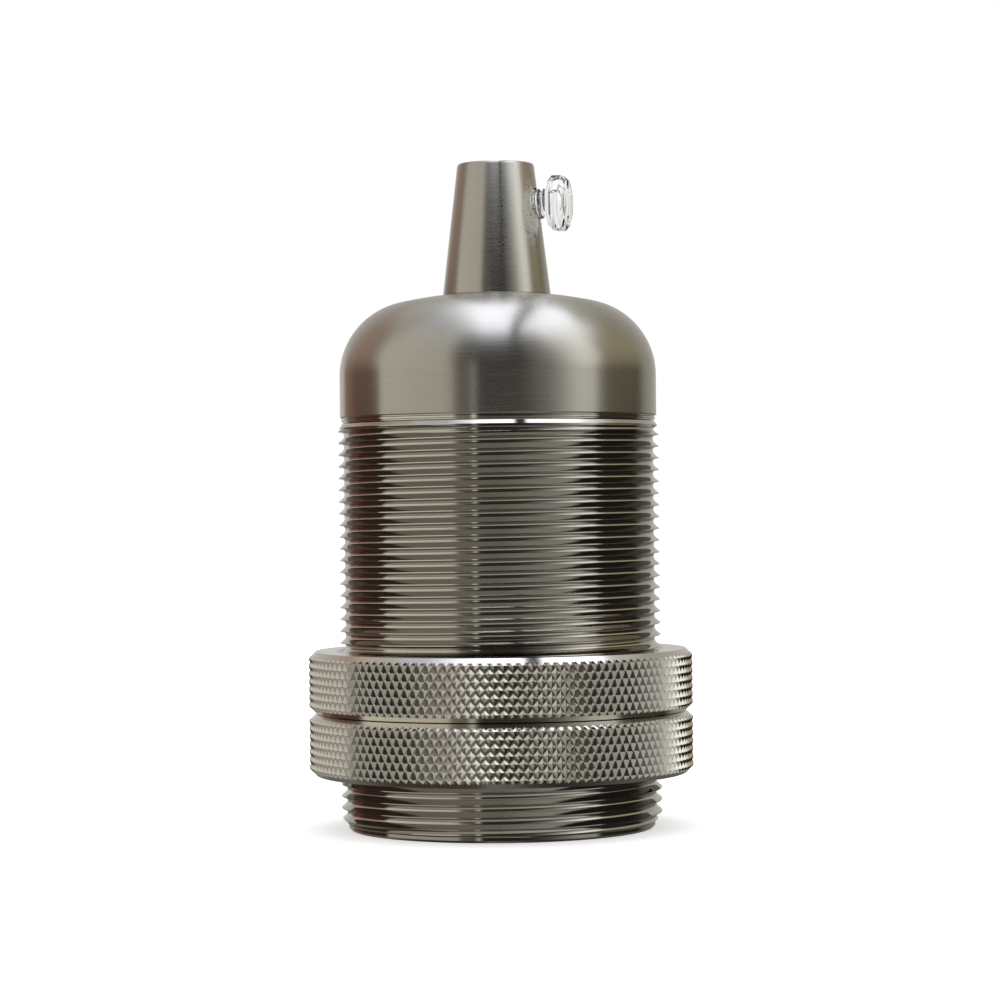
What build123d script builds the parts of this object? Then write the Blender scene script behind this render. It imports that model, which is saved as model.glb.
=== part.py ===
from build123d import *
import math
import os

# A pendant lamp holder, standing on its open rim. Z = 0 is the rim, the axis
# of the holder is Z, and the grip screw points along +X. Lengths are in mm.

# Threaded barrel
barrel_height = 52.5
crest_radius = 20.5
thread_depth = 0.75
thread_pitch = 1.5
thread_root_flat = 0.55
thread_flank_slope = 0.5
thread_mouth_spare = 0.1
runout_height = 1.9
runout_depth = 0.45
barrel_wall = 2.6
lip_step = 0.9
lip_height = 0.7
lip_bevel = 0.9
neck_height = 5.5
neck_clearance = 0.25
edge_break = 0.3
trim_spare = 1.5

# Domed cap
cap_step = 0.25
cap_wall = 1.1
cap_straight = 5.3
cap_corner_radius = 9.6
cap_corner_sweep = 78
cap_land_radius = 7.3

# Shade rings
ring_height = 7.8
ring_wall = 3.9
ring_chamfer_width = 1.25
ring_chamfer_height = 0.85
ring_bore_clearance = 0.15
ring_bore_chamfer = 0.5
lower_ring_z = 7.05
ring_gap = 0.15
knurl_depth = 0.36
knurl_pitch = 1.17
knurl_row = 1.0
knurl_shelf = 0.03

# Nipple, and what it clamps under the cap
nipple_radius = 5.0
nipple_bore_radius = 3.6
nipple_clearance = 0.12
nipple_stand_out = 7.0
nipple_tail = 1.0
washer_radius = 7.0
washer_height = 1.2
washer_slit = 1.0
nut_across_flats = 14.0
nut_height = 3.0

# Cable grip and its clamping screw
grip_height = 16.9
grip_base_radius = 6.9
grip_top_radius = 4.9
grip_bore_radius = 3.6
grip_edge_radius = 0.35
grip_socket_relief = 0.3
grip_screw_level = 11.6
screw_radius = 1.95
screw_clearance = 0.1
screw_tip_reach = 3.75
screw_head_reach = 7.15
screw_head_across = 6.9
screw_head_height = 2.35
screw_head_chamfer = 0.55
screw_slot_width = 1.1
screw_slot_depth = 0.9

# Porcelain body
body_recess = 1.2
body_clearance = 0.7
body_edge_radius = 0.8
mouth_radius = 13.9
socket_radius = 14.15
socket_depth = 26.8
deck_height = 13.0
barrier_length = 14.0
barrier_width = 2.0
barrier_height = 5.0

# Screw shell for the lamp, a rolled thread in thin sheet
shell_sheet = 0.35
shell_mean_radius = 12.95
shell_wave = 0.45
shell_pitch = 3.629
shell_recess = 3.0
shell_turns = 6
shell_window_radius = 7.5
shell_window_width = 6.0
shell_window_reach = 12.6

# Terminals, their screws, and the rivets under them
terminal_offset = 10.0
terminal_width = 6.0
terminal_length = 7.0
terminal_height = 8.0
terminal_sink = 3.0
terminal_clearance = 0.15
wire_hole_radius = 1.4
wire_hole_level = 5.0
terminal_screw_radius = 1.45
terminal_screw_head_radius = 2.4
terminal_screw_head_height = 1.8
terminal_screw_lift = 1.5
rivet_radius = 1.25
rivet_head_radius = 2.0
rivet_head_height = 0.9
rivet_bite = 2.0
fit_clearance = 0.05

# Centre contact, a sprung leaf with a button at its tip
leaf_sheet = 0.5
leaf_width = 4.5
leaf_root_end = 12.4
leaf_bend = 6.6
leaf_drop = 2.6
leaf_tip = -2.4
leaf_slot_depth = 1.0
leaf_slot_clearance = 0.5
button_radius = 1.9
button_shank_radius = 0.9
button_dome_height = 0.9
button_tail_radius = 1.4
button_tail_height = 0.5

# Bracket and its screws
bracket_sheet = 1.2
bracket_web_half = 10.5
bracket_foot_reach = 16.6
bracket_leg_width = 8.0
bracket_eye_radius = 8.5
bracket_bend_radius = 0.9
core_screw_offset = 13.9
core_screw_radius = 1.5
core_screw_head_radius = 2.5
core_screw_head_height = 1.8
core_screw_depth = 9.0
screw_drive_width = 0.7
screw_drive_depth = 0.8
earth_screw_level = 11.0
earth_screw_radius = 1.6
earth_screw_length = 6.0
earth_screw_head_radius = 2.8
earth_screw_head_height = 1.9
earth_washer_side = 6.5
earth_washer_sheet = 0.8

# Sizes and places that follow from the sizes above
barrel_bore_radius = crest_radius - barrel_wall
cap_radius = crest_radius - cap_step
body_radius = barrel_bore_radius - body_clearance
lip_radius = crest_radius - lip_step
runout_radius = crest_radius - runout_depth
ring_bore_radius = crest_radius + ring_bore_clearance
ring_radius = ring_bore_radius + ring_wall
ring_face_radius = ring_radius - ring_chamfer_width
neck_radius = cap_radius - cap_wall - neck_clearance
corner_z = barrel_height + cap_straight
sweep_cos = math.cos(math.radians(cap_corner_sweep))
sweep_sin = math.sin(math.radians(cap_corner_sweep))
crown_radius = (cap_radius - cap_corner_radius) / sweep_cos + cap_corner_radius
crown_centre_z = corner_z + (cap_corner_radius - crown_radius) * sweep_sin
land_z = crown_centre_z + math.sqrt(crown_radius**2 - cap_land_radius**2)
cap_ceiling_z = land_z - cap_wall
washer_z = cap_ceiling_z - washer_height
web_z = washer_z - bracket_sheet
nut_z = web_z - nut_height
grip_top_z = land_z + grip_height
grip_screw_z = land_z + grip_screw_level
upper_ring_z = lower_ring_z + ring_height + ring_gap
body_roof_z = body_recess + socket_depth
deck_z = body_roof_z + deck_height
terminal_z = deck_z - terminal_sink
terminal_top_z = terminal_z + terminal_height
leaf_top_z = body_roof_z + leaf_slot_depth - fit_clearance
leaf_low_z = leaf_top_z - leaf_drop

BASE = (Align.CENTER, Align.CENTER, Align.MIN)
TOP = (Align.CENTER, Align.CENTER, Align.MAX)


def rod(radius, z_low, z_high, x=0, y=0):
    """An upright cylinder between two levels."""
    return Pos(x, y, z_low) * Cylinder(radius, z_high - z_low, align=BASE)


def block(x_size, y_size, z_low, z_high, x=0, y=0):
    """An upright box between two levels."""
    return Pos(x, y, z_low) * Box(x_size, y_size, z_high - z_low, align=BASE)


def turned(*points):
    """A turned solid: a half section in X and Z, revolved about the axis."""
    outline = Polyline(*[(r, 0, z) for r, z in points], close=True)
    return revolve(make_face(outline), Axis.Z)


def cap_form(inset):
    """The solid outer form of the cap, shrunk all round by an inset."""
    radius = cap_radius - inset
    corner = cap_corner_radius - inset
    crown = crown_radius - inset
    top_z = land_z - inset
    land = math.sqrt(crown**2 - (top_z - crown_centre_z) ** 2)
    knuckle_r = radius - corner + corner * sweep_cos
    knuckle_z = corner_z + corner * sweep_sin
    mid_angle = math.radians(cap_corner_sweep / 2)
    corner_mid = (radius - corner + corner * math.cos(mid_angle), 0, corner_z + corner * math.sin(mid_angle))
    crown_mid_r = (knuckle_r + land) / 2
    crown_mid = (crown_mid_r, 0, crown_centre_z + math.sqrt(crown**2 - crown_mid_r**2))
    outline = [
        Line((0, 0, barrel_height), (radius, 0, barrel_height)),
        Line((radius, 0, barrel_height), (radius, 0, corner_z)),
        ThreePointArc((radius, 0, corner_z), corner_mid, (knuckle_r, 0, knuckle_z)),
        ThreePointArc((knuckle_r, 0, knuckle_z), crown_mid, (land, 0, top_z)),
        Line((land, 0, top_z), (0, 0, top_z)),
        Line((0, 0, top_z), (0, 0, barrel_height)),
    ]
    return revolve(make_face(Wire(outline)), Axis.Z)


def make_skirt():
    """The barrel: a helical outer thread, a plain lip, and a neck for the cap."""
    thread_top = barrel_height - runout_height
    neck_top = barrel_height + neck_height
    outside = crest_radius + trim_spare
    tube = turned(
        (barrel_bore_radius + edge_break, 0),
        (crest_radius, 0),
        (crest_radius, neck_top),
        (barrel_bore_radius, neck_top),
        (barrel_bore_radius, edge_break),
    )
    lip_waste = turned(
        (lip_radius - edge_break, -trim_spare),
        (lip_radius - edge_break, 0),
        (lip_radius, edge_break),
        (lip_radius, lip_height),
        (crest_radius, lip_height + lip_bevel),
        (outside, lip_height + lip_bevel + trim_spare / 2),
        (outside, -trim_spare),
    )
    neck_waste = turned(
        (crest_radius + edge_break, thread_top),
        (runout_radius, thread_top + runout_height / 3),
        (runout_radius, barrel_height),
        (neck_radius, barrel_height),
        (neck_radius, neck_top - edge_break),
        (neck_radius - edge_break, neck_top),
        (neck_radius - edge_break, neck_top + trim_spare),
        (outside, neck_top + trim_spare),
        (outside, thread_top),
    )
    root_radius = crest_radius - thread_depth
    helix = Helix(
        pitch=thread_pitch,
        height=thread_top + thread_pitch,
        radius=root_radius,
        center=(0, 0, -thread_pitch),
    )
    reach = thread_depth + thread_mouth_spare
    half_root = thread_root_flat / 2
    half_mouth = half_root + reach * thread_flank_slope
    section = Plane(origin=helix @ 0, x_dir=(1, 0, 0), z_dir=helix % 0)
    notch = Polyline((0, -half_root), (reach, -half_mouth), (reach, half_mouth), (0, half_root), close=True)
    groove = sweep(section * make_face(notch), path=helix, is_frenet=True)
    return tube - groove - lip_waste - neck_waste


def knurl_facets(z_low, z_high):
    """Diamond pyramids round a band, with the two zigzag edges that close it."""
    teeth = round(2 * math.pi * ring_radius / knurl_pitch)
    rows = round((z_high - z_low) / knurl_row)
    step = 2 * math.pi / teeth

    def point(radius, place, row):
        angle = place * step
        z = z_low + (z_high - z_low) * row / rows
        return (radius * math.cos(angle), radius * math.sin(angle), z)

    def valley(place, row):
        return point(ring_radius - knurl_depth, place, row)

    faces = []
    for row in range(rows + 1):
        for tooth in range(teeth):
            left = tooth + row / 2
            peak = point(ring_radius, left + 0.5, row)
            for next_row in (row - 1, row + 1):
                if 0 <= next_row <= rows:
                    tip = valley(left + 0.5, next_row)
                    faces.append(Face(Wire.make_polygon([valley(left, row), peak, tip])))
                    faces.append(Face(Wire.make_polygon([peak, valley(left + 1, row), tip])))
    rims = []
    for row in (0, rows):
        zigzag = []
        for tooth in range(teeth):
            left = tooth + row / 2
            zigzag.append(valley(left, row))
            zigzag.append(point(ring_radius, left + 0.5, row))
        rims.append(Wire.make_polygon(zigzag))
    return faces, rims


def make_ring():
    """A shade ring with its underside at Z = 0: chamfered, with a knurled edge."""
    bore = ring_bore_radius
    core_radius = ring_radius - knurl_depth - knurl_shelf
    band_low = ring_chamfer_height
    band_high = ring_height - ring_chamfer_height
    core = turned(
        (bore + ring_bore_chamfer, 0),
        (ring_face_radius, 0),
        (core_radius, band_low),
        (core_radius, band_high),
        (ring_face_radius, ring_height),
        (bore + ring_bore_chamfer, ring_height),
        (bore, ring_height - ring_bore_chamfer),
        (bore, ring_bore_chamfer),
    )
    side = core.faces().filter_by(GeomType.CYLINDER).sort_by(lambda face: face.radius)[-1]
    faces, rims = knurl_facets(band_low, band_high)
    faces += [face for face in core.faces() if not face.is_same(side)]
    circles = side.edges().filter_by(GeomType.CIRCLE).sort_by(Axis.Z)
    for rim, circle in zip(rims, (circles[0], circles[-1])):
        faces.append(Face(rim, [Wire([circle])]))
    return Solid(Shell(faces))


def make_cap():
    """The domed cap, a thin turned shell with a hole for the nipple."""
    shell = cap_form(0) - cap_form(cap_wall)
    return shell - rod(nipple_radius + nipple_clearance, nut_z, grip_top_z)


def make_nipple():
    """The hollow threaded nipple that joins grip, cap and bracket."""
    z_low = nut_z - nipple_tail
    z_high = land_z + nipple_stand_out
    tube = rod(nipple_radius, z_low, z_high) - rod(nipple_bore_radius, z_low, z_high)
    rims = tube.edges().filter_by(GeomType.CIRCLE).filter_by(lambda edge: edge.radius > nipple_bore_radius)
    return chamfer(rims, edge_break)


def make_lock_washer():
    """A split washer under the cap."""
    hole = nipple_radius + nipple_clearance
    washer = rod(washer_radius, washer_z, cap_ceiling_z) - rod(hole, washer_z, cap_ceiling_z)
    return washer - block(washer_slit, washer_radius * 2, washer_z, cap_ceiling_z, y=washer_radius)


def make_nut():
    """The hexagon nut that clamps the bracket to the cap."""
    blank = Pos(0, 0, nut_z) * extrude(RegularPolygon(nut_across_flats / 2, 6, major_radius=False), nut_height)
    corner_radius = nut_across_flats / 2 / math.cos(math.pi / 6)
    cone = turned(
        (0, nut_z),
        (nut_across_flats / 2, nut_z),
        (corner_radius, nut_z + edge_break),
        (corner_radius, web_z),
        (0, web_z),
    )
    return (blank & cone) - rod(nipple_radius + fit_clearance, nut_z, web_z)


def make_grip():
    """The tapered cable grip, with a socket for the nipple and a side hole."""
    taper = turned((0, land_z), (grip_base_radius, land_z), (grip_top_radius, grip_top_z), (0, grip_top_z))
    taper = fillet(taper.edges().sort_by(Axis.Z)[-1], grip_edge_radius)
    socket_top = land_z + nipple_stand_out + grip_socket_relief
    grip = taper - rod(grip_bore_radius, land_z, grip_top_z)
    grip -= rod(nipple_radius + nipple_clearance, land_z, socket_top)
    side_hole = Pos(0, 0, grip_screw_z) * Rot(0, 90, 0) * Cylinder(
        screw_radius + screw_clearance, grip_base_radius * 2, align=BASE
    )
    return grip - side_hole


def make_grip_screw():
    """The clear thumb screw: a shank, and an eight-sided head with a slot."""
    shank = Cylinder(screw_radius, screw_head_reach - screw_tip_reach, align=TOP)
    shank = chamfer(shank.edges().sort_by(Axis.Z)[0], edge_break)
    head = extrude(RegularPolygon(screw_head_across / 2, 8, major_radius=False), screw_head_height)
    flats = head.faces().filter_by(Axis.Z).edges()
    head = chamfer(flats, screw_head_chamfer)
    slot = Pos(0, 0, screw_head_height) * Box(screw_head_across, screw_slot_width, screw_slot_depth, align=TOP)
    screw = Rot(0, 0, 22.5) * (head - slot) + shank
    return Pos(screw_head_reach, 0, grip_screw_z) * Rot(0, 90, 0) * screw


def leaf_line():
    """The top side of the leaf in Y and Z: flat root, sloping spring, flat tip."""
    return [
        (leaf_root_end, leaf_top_z),
        (leaf_bend, leaf_top_z),
        (-leaf_tip, leaf_low_z),
        (leaf_tip, leaf_low_z),
    ]


def make_leaf():
    """The contact leaf: a bent strip with holes for its rivet and its button."""
    upper = leaf_line()
    lower = [(y, z - leaf_sheet) for y, z in reversed(upper)]
    side = make_face(Polyline(*upper, *lower, close=True))
    strip = extrude(Plane.YZ * side, leaf_width / 2, both=True)
    strip -= rod(rivet_radius + fit_clearance, body_recess, deck_z, y=terminal_offset)
    return strip - rod(button_shank_radius + fit_clearance, body_recess, body_roof_z)


def make_button():
    """The contact button, riveted through the tip of the leaf."""
    leaf_under_z = leaf_low_z - leaf_sheet - fit_clearance
    leaf_over_z = leaf_low_z + fit_clearance
    dome_radius = (button_radius**2 + button_dome_height**2) / (2 * button_dome_height)
    dome = Pos(0, 0, leaf_under_z + dome_radius - button_dome_height) * Sphere(dome_radius)
    dome &= rod(button_radius, leaf_under_z - button_dome_height, leaf_under_z)
    shank = rod(button_shank_radius, leaf_under_z, leaf_over_z + button_tail_height)
    tail = rod(button_tail_radius, leaf_over_z, leaf_over_z + button_tail_height)
    return dome + shank + tail


def make_body():
    """The porcelain body: socket below, deck with pockets and a barrier above."""
    outer = fillet(rod(body_radius, body_recess, deck_z).edges().filter_by(GeomType.CIRCLE), body_edge_radius)
    barrier = block(barrier_length, barrier_width, deck_z, deck_z + barrier_height)
    barrier = fillet(barrier.edges().filter_by(Axis.Z), barrier_width / 2 - fit_clearance)
    body = outer + barrier - rod(mouth_radius, body_recess, body_roof_z)
    body -= rod(socket_radius, body_recess + shell_recess, body_roof_z)
    slot_ends = leaf_root_end + leaf_slot_clearance, leaf_tip - leaf_slot_clearance
    slot_length = slot_ends[0] - slot_ends[1]
    slot_width = leaf_width + leaf_slot_clearance * 2
    slot_top = body_roof_z + leaf_slot_depth
    body -= block(slot_width, slot_length, body_roof_z, slot_top, y=sum(slot_ends) / 2)
    pocket_x = terminal_width + terminal_clearance * 2
    pocket_y = terminal_length + terminal_clearance * 2
    for side in (-1, 1):
        y = side * terminal_offset
        body -= block(pocket_x, pocket_y, terminal_z, deck_z, y=y)
        body -= rod(rivet_radius + fit_clearance, body_roof_z, terminal_z, y=y)
        body -= rod(core_screw_radius + fit_clearance, deck_z - core_screw_depth, deck_z, x=side * core_screw_offset)
    return body


def shell_side(offset):
    """One side of the screw shell's rolled wall, from its mouth up, offset from the middle of the sheet."""
    bump = shell_pitch / 2
    bend = bump**2 / (8 * shell_wave) + shell_wave / 2
    swing = math.asin(bump / 2 / bend)
    z_low = body_recess + shell_recess
    collar = (body_roof_z - z_low - shell_turns * shell_pitch) / 2
    collar_radius = shell_mean_radius + shell_wave + offset
    bumps = shell_turns * 2

    def spot(place, sign, angle):
        radius = bend + sign * offset
        r = shell_mean_radius - sign * (bend - shell_wave) + sign * radius * math.cos(angle)
        return (r, 0, z_low + collar + place * bump + radius * math.sin(angle))

    side = [Line((collar_radius, 0, z_low), (collar_radius, 0, z_low + collar))]
    for place in range(bumps + 1):
        sign = -1 if place % 2 else 1
        start = -swing if place > 0 else 0
        end = swing if place < bumps else 0
        side.append(ThreePointArc(spot(place, sign, start), spot(place, sign, (start + end) / 2), spot(place, sign, end)))
    side.append(Line((collar_radius, 0, body_roof_z - collar), (collar_radius, 0, body_roof_z)))
    return side


def make_shell():
    """The screw shell: a thin rolled wall with a flange under the roof."""
    outer = shell_side(shell_sheet / 2)
    inner = shell_side(-shell_sheet / 2)
    top = Line(outer[-1] @ 1, inner[-1] @ 1)
    mouth = Line(inner[0] @ 0, outer[0] @ 0)
    shell = revolve(make_face(Wire(outer + [top] + inner[::-1] + [mouth])), Axis.Z)
    flange_radius = shell_mean_radius + shell_wave
    flange = rod(flange_radius, body_roof_z - shell_sheet, body_roof_z)
    flange -= rod(shell_window_radius, body_roof_z - shell_sheet, body_roof_z)
    shell += flange
    window = block(shell_window_width, shell_window_reach, body_roof_z - shell_sheet * 2, body_roof_z,
                   y=shell_window_reach / 2)
    shell -= window
    return shell - rod(rivet_radius + fit_clearance, body_recess, deck_z, y=-terminal_offset)


def make_rivet(seat_z, y):
    """A rivet from the socket up into a terminal, its head under a seat."""
    head_z = seat_z - rivet_head_height
    head = rod(rivet_head_radius, head_z, seat_z, y=y)
    head = fillet(head.edges().filter_by(GeomType.CIRCLE).sort_by(Axis.Z)[0], rivet_head_height / 2)
    return head + rod(rivet_radius, seat_z, terminal_z + rivet_bite, y=y)


def make_terminal(y):
    """A brass terminal: a wire hole along Y, and a screw hole from the top."""
    terminal = block(terminal_width, terminal_length, terminal_z, terminal_top_z, y=y)
    terminal = chamfer(terminal.edges().filter_by(Axis.Z), edge_break)
    wire_z = terminal_z + wire_hole_level
    terminal -= Pos(0, y, wire_z) * Rot(90, 0, 0) * Cylinder(wire_hole_radius, terminal_length * 2)
    screw_hole = terminal_screw_radius + fit_clearance
    terminal -= rod(screw_hole, wire_z - wire_hole_radius - edge_break, terminal_top_z, y=y)
    return terminal - rod(rivet_radius + fit_clearance, terminal_z, terminal_z + rivet_bite, y=y)


def slotted_screw(radius, length, head_radius, head_height):
    """A cheese-head screw, seat at Z = 0, with its shank below."""
    head = Cylinder(head_radius, head_height, align=BASE)
    head = fillet(head.edges().filter_by(GeomType.CIRCLE).sort_by(Axis.Z)[-1], edge_break)
    drive = Pos(0, 0, head_height) * Box(head_radius * 2, screw_drive_width, screw_drive_depth, align=TOP)
    shank = Cylinder(radius, length, align=TOP)
    shank = chamfer(shank.edges().sort_by(Axis.Z)[0], edge_break)
    return (head - drive) + shank


def make_terminal_screw(y):
    """A terminal screw, backed off so that its tip clears the wire hole."""
    wire_top = terminal_z + wire_hole_level + wire_hole_radius
    length = terminal_top_z + terminal_screw_lift - wire_top
    screw = slotted_screw(
        terminal_screw_radius, length, terminal_screw_head_radius, terminal_screw_head_height
    )
    return Pos(0, y, terminal_top_z + terminal_screw_lift) * screw


def make_bracket():
    """The bracket: a folded strip from the nipple down to the porcelain deck."""
    inner_half = bracket_web_half - bracket_sheet
    right = [
        (bracket_foot_reach, deck_z),
        (bracket_foot_reach, deck_z + bracket_sheet),
        (bracket_web_half, deck_z + bracket_sheet),
        (bracket_web_half, washer_z),
    ]
    right_inner = [(inner_half, web_z), (inner_half, deck_z)]
    left = [(-x, z) for x, z in reversed(right)]
    left_inner = [(-x, z) for x, z in reversed(right_inner)]
    section = make_face(Polyline(*right, *left, *left_inner, *right_inner, close=True))
    bends = [vertex for vertex in section.vertices() if abs(vertex.X) < bracket_foot_reach - fit_clearance]
    section = fillet(bends, bracket_bend_radius)
    strip = extrude(Plane.XZ * section, bracket_eye_radius, both=True)
    strip &= rod(bracket_eye_radius, web_z, washer_z) + block(
        bracket_foot_reach * 2, bracket_leg_width, deck_z, washer_z
    )
    strip -= rod(nipple_radius + nipple_clearance, web_z, washer_z)
    for side in (-1, 1):
        foot_hole = core_screw_radius + fit_clearance * 2
        strip -= rod(foot_hole, deck_z, deck_z + bracket_sheet, x=side * core_screw_offset)
    earth_hole = Pos(0, 0, deck_z + earth_screw_level) * Rot(0, 90, 0) * Cylinder(
        earth_screw_radius + fit_clearance, bracket_foot_reach, align=BASE
    )
    return strip - earth_hole


def make_core_screw(side):
    """One of the two screws that hold the bracket down on the porcelain."""
    length = core_screw_depth + bracket_sheet - edge_break
    screw = slotted_screw(core_screw_radius, length, core_screw_head_radius, core_screw_head_height)
    return Pos(side * core_screw_offset, 0, deck_z + bracket_sheet) * screw


def make_earth_washer():
    """The square washer that clamps the earth wire."""
    plate = Box(earth_washer_side, earth_washer_side, earth_washer_sheet, align=BASE)
    plate = chamfer(plate.edges().filter_by(Axis.Z), edge_break * 2)
    plate -= Cylinder(earth_screw_radius + fit_clearance, earth_washer_sheet, align=BASE)
    return Pos(bracket_web_half, 0, deck_z + earth_screw_level) * Rot(0, 90, 0) * plate


def make_earth_screw():
    """The earth screw, in the side of the bracket."""
    screw = slotted_screw(
        earth_screw_radius, earth_screw_length, earth_screw_head_radius, earth_screw_head_height
    )
    seat_x = bracket_web_half + earth_washer_sheet
    return Pos(seat_x, 0, deck_z + earth_screw_level) * Rot(0, 90, 0) * screw


ring = make_ring()
pieces = {
    "threaded_skirt": make_skirt(),
    "dome_cap": make_cap(),
    "cable_grip": make_grip(),
    "grip_screw": make_grip_screw(),
    "shade_ring_upper": Pos(0, 0, upper_ring_z) * ring,
    "shade_ring_lower": Pos(0, 0, lower_ring_z) * ring,
    "threaded_nipple": make_nipple(),
    "lock_washer": make_lock_washer(),
    "nipple_nut": make_nut(),
    "mounting_bracket": make_bracket(),
    "core_screw_left": make_core_screw(-1),
    "core_screw_right": make_core_screw(1),
    "earth_washer": make_earth_washer(),
    "earth_screw": make_earth_screw(),
    "porcelain_body": make_body(),
    "screw_shell": make_shell(),
    "shell_rivet": make_rivet(body_roof_z - shell_sheet, -terminal_offset),
    "contact_rivet": make_rivet(leaf_top_z - leaf_sheet, terminal_offset),
    "contact_leaf": make_leaf(),
    "contact_button": make_button(),
    "terminal_neutral": make_terminal(-terminal_offset),
    "terminal_live": make_terminal(terminal_offset),
    "terminal_screw_neutral": make_terminal_screw(-terminal_offset),
    "terminal_screw_live": make_terminal_screw(terminal_offset),
}

os.makedirs("parts", exist_ok=True)
for name, piece in pieces.items():
    export_step(piece, f"parts/{name}.step")
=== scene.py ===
"""A pendant lamp holder, dressed for its portrait: plated metal, fine thread, knurl, socket and studio."""

import logging
import math
from dataclasses import dataclass, field
from enum import Enum

import bpy
from mathutils import Matrix, Vector


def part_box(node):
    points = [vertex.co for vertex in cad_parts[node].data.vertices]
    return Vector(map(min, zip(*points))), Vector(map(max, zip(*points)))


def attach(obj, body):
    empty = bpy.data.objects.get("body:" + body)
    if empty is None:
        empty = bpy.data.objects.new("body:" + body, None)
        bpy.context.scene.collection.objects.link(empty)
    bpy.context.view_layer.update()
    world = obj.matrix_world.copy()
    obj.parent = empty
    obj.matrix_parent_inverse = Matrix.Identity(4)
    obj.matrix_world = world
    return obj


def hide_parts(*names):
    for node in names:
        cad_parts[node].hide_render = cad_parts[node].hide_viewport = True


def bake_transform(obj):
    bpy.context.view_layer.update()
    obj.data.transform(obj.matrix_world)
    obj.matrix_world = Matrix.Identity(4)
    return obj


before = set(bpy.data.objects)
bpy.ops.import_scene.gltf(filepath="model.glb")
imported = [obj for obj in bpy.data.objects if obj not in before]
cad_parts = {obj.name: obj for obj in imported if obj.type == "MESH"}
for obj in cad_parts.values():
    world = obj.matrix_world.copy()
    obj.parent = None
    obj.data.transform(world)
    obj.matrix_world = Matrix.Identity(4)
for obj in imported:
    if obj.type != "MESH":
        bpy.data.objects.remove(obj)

LOG = logging.getLogger("lamp_holder")
MM = 0.001
MERGE_GAP = 0.000001
SLICE_GAP = 0.0000001
NODES_IN_ROW = 6
NODE_STEP = 240

Object = bpy.types.Object
Material = bpy.types.Material
NodeTree = bpy.types.NodeTree
Node = bpy.types.Node
Socket = bpy.types.NodeSocket
Pair = tuple[float, float]
Triple = tuple[float, float, float]
Outline = list[Pair]
Cards = tuple[tuple[float, Triple], ...]


class Trim(Enum):
    """What a boolean tool does to the piece that it meets."""

    CUT = "DIFFERENCE"
    KEEP_INSIDE = "INTERSECT"
    JOIN = "UNION"


def deselect() -> None:
    """Leaves object mode with nothing selected."""
    if bpy.context.object and bpy.context.object.mode != "OBJECT":
        bpy.ops.object.mode_set(mode="OBJECT")
    bpy.ops.object.select_all(action="DESELECT")


def take(piece: Object) -> None:
    """Makes one object the only one selected, and the active one.

    Args:
        piece: the object to work on.
    """
    deselect()
    piece.select_set(True)
    bpy.context.view_layer.objects.active = piece


def settle(piece: Object) -> Object:
    """Puts a new piece's place into its mesh, so that its object sits at the origin.

    Args:
        piece: the object to settle.

    Returns:
        The same object.
    """
    take(piece)
    bpy.ops.object.transform_apply(location=True, rotation=True, scale=True)
    return piece


def apply_modifier(piece: Object, kind: str, **settings: object) -> None:
    """Adds one modifier, sets it and applies it.

    Args:
        piece: the object to shape.
        kind: the modifier's type.
        **settings: the modifier's own properties.
    """
    take(piece)
    modifier = piece.modifiers.new(kind.lower(), kind)
    for key, value in settings.items():
        setattr(modifier, key, value)
    bpy.ops.object.modifier_apply(modifier=modifier.name)


def clean_mesh(piece: Object) -> None:
    """Merges doubled points and turns every face outwards.

    Args:
        piece: the object whose mesh is cleaned.
    """
    take(piece)
    bpy.ops.object.mode_set(mode="EDIT")
    bpy.ops.mesh.select_all(action="SELECT")
    bpy.ops.mesh.remove_doubles(threshold=MERGE_GAP)
    bpy.ops.mesh.normals_make_consistent(inside=False)
    bpy.ops.object.mode_set(mode="OBJECT")


def smooth(piece: Object, angle: float) -> None:
    """Shades a piece smooth, apart from edges sharper than an angle.

    Args:
        piece: the object to shade.
        angle: the angle in degrees.
    """
    take(piece)
    bpy.ops.object.shade_smooth_by_angle(angle=math.radians(angle))


def draw_outline(name: str, outline: Outline) -> Object:
    """Draws a chain of edges in the XZ plane by extruding one point.

    Args:
        name: the new object's name.
        outline: radius and height of each point, in millimetres.

    Returns:
        The chain, as a mesh object.
    """
    deselect()
    bpy.ops.mesh.primitive_plane_add(size=MM)
    chain = bpy.context.object
    chain.name = name
    bpy.ops.object.mode_set(mode="EDIT")
    bpy.ops.mesh.select_mode(type="VERT")
    bpy.ops.mesh.select_all(action="SELECT")
    bpy.ops.mesh.merge(type="CENTER")
    start = Vector((outline[0][0], 0, outline[0][1])) * MM
    bpy.ops.transform.translate(value=start)
    for (r_from, z_from), (r_to, z_to) in zip(outline, outline[1:]):
        step = Vector((r_to - r_from, 0, z_to - z_from)) * MM
        bpy.ops.mesh.extrude_vertices_move(TRANSFORM_OT_translate={"value": step})
    bpy.ops.object.mode_set(mode="OBJECT")
    return chain


def turn(name: str, outline: Outline, steps: int, **winding: float) -> Object:
    """Turns an outline about the Z axis, or winds it along a helix.

    Args:
        name: the new object's name.
        outline: radius and height of each point, in millimetres.
        steps: how many faces go round.
        **winding: for a helix, the modifier's offset and number of turns.

    Returns:
        The turned piece.
    """
    piece = draw_outline(name, outline)
    apply_modifier(
        piece, "SCREW", steps=steps, render_steps=steps,
        use_merge_vertices=True, merge_threshold=MERGE_GAP, **winding,
    )
    clean_mesh(piece)
    return piece


def coil(name: str, tooth: Outline, turns: int, steps: int) -> Object:
    """Winds one tooth of a thread into a right-hand helical surface.

    Args:
        name: the new object's name.
        tooth: radius and height over exactly one pitch, in millimetres.
        turns: how many turns to wind.
        steps: how many faces go round.

    Returns:
        The open helical surface.
    """
    pitch = (tooth[-1][1] - tooth[0][1]) * MM
    return turn(name, tooth, steps, screw_offset=pitch, iterations=turns)


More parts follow.
